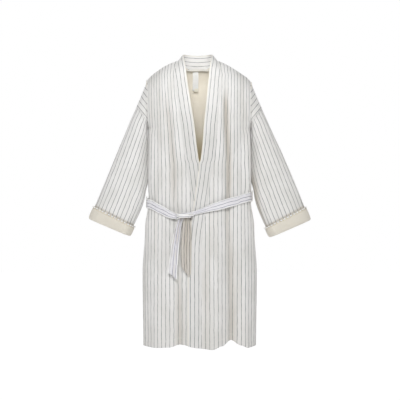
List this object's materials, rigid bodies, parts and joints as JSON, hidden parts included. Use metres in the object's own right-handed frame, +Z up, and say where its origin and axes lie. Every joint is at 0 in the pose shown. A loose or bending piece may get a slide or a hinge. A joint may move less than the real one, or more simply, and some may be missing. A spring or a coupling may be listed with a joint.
{
  "type": "bathrobe",
  "caption": "Knee-length wrap robe with striped cloth, cream lining, turned-up cuffs, shawl band, tied belt and a loop to hang it by.",
  "frame": {"origin": "on the lower edge of the hanger loop inside the collar, where a hook bears, on the robe's centre line", "axes": "+Z up, +X to the wearer's left, the front faces -Y"},
  "size_m": [0.8702, 0.2112, 1.1464],
  "materials": {
    "striped_cloth": "soft off-white double gauze with thin grey lengthwise stripes",
    "cream_lining": "matte cream inner cloth with a short soft pile",
    "cuff_cloth": "the cream inner cloth, turned out, with a stitched edge",
    "belt_cloth": "white striped cloth, folded and pressed along its length",
    "white_tape": "plain white woven tape",
    "label_ribbon": "blank satin ribbon with a slight sheen",
    "size_tab": "blank cream satin tab"
  },
  "bodies": {
    "robe_body": {"back_panel": "striped_cloth", "back_lining": "cream_lining", "back_collar_band": "striped_cloth", "left_front_panel": "striped_cloth", "left_front_lining": "cream_lining", "left_front_band": "striped_cloth", "right_front_panel": "striped_cloth", "right_front_lining": "cream_lining", "right_front_band": "striped_cloth", "waist_belt": "belt_cloth", "belt_knot": "belt_cloth", "hanger_loop": "white_tape", "left_belt_loop": "white_tape", "right_belt_loop": "white_tape"},
    "left_sleeve_body": {"left_sleeve": "striped_cloth", "left_sleeve_lining": "cream_lining", "left_cuff": "cuff_cloth"},
    "right_sleeve_body": {"right_sleeve": "striped_cloth", "right_sleeve_lining": "cream_lining", "right_cuff": "cuff_cloth"},
    "left_tail_body": {"belt_tail_left": "belt_cloth"},
    "right_tail_body": {"belt_tail_right": "belt_cloth"},
    "label_body": {"neck_label": "label_ribbon", "size_tab": "size_tab"}
  },
  "joints": [
    {"name": "left_sleeve_raise", "type": "hinge", "parent": "robe_body", "child": "left_sleeve_body", "pos_m": [0.204, -0.057, -0.034], "axis": [0, -1, 0], "range_deg": [0, 35]},
    {"name": "right_sleeve_raise", "type": "hinge", "parent": "robe_body", "child": "right_sleeve_body", "pos_m": [-0.204, -0.057, -0.034], "axis": [0, 1, 0], "range_deg": [0, 35]},
    {"name": "left_tail_lift", "type": "hinge", "parent": "robe_body", "child": "left_tail_body", "pos_m": [-0.055, -0.151, -0.5985], "axis": [-1, 0, 0], "range_deg": [0, 90]},
    {"name": "right_tail_lift", "type": "hinge", "parent": "robe_body", "child": "right_tail_body", "pos_m": [-0.084, -0.151, -0.5985], "axis": [-1, 0, 0], "range_deg": [0, 90]},
    {"name": "label_flip", "type": "hinge", "parent": "robe_body", "child": "label_body", "pos_m": [-0.017, 0.00785, -0.0018], "axis": [-1, 0, 0], "range_deg": [0, 90]}
  ]
}
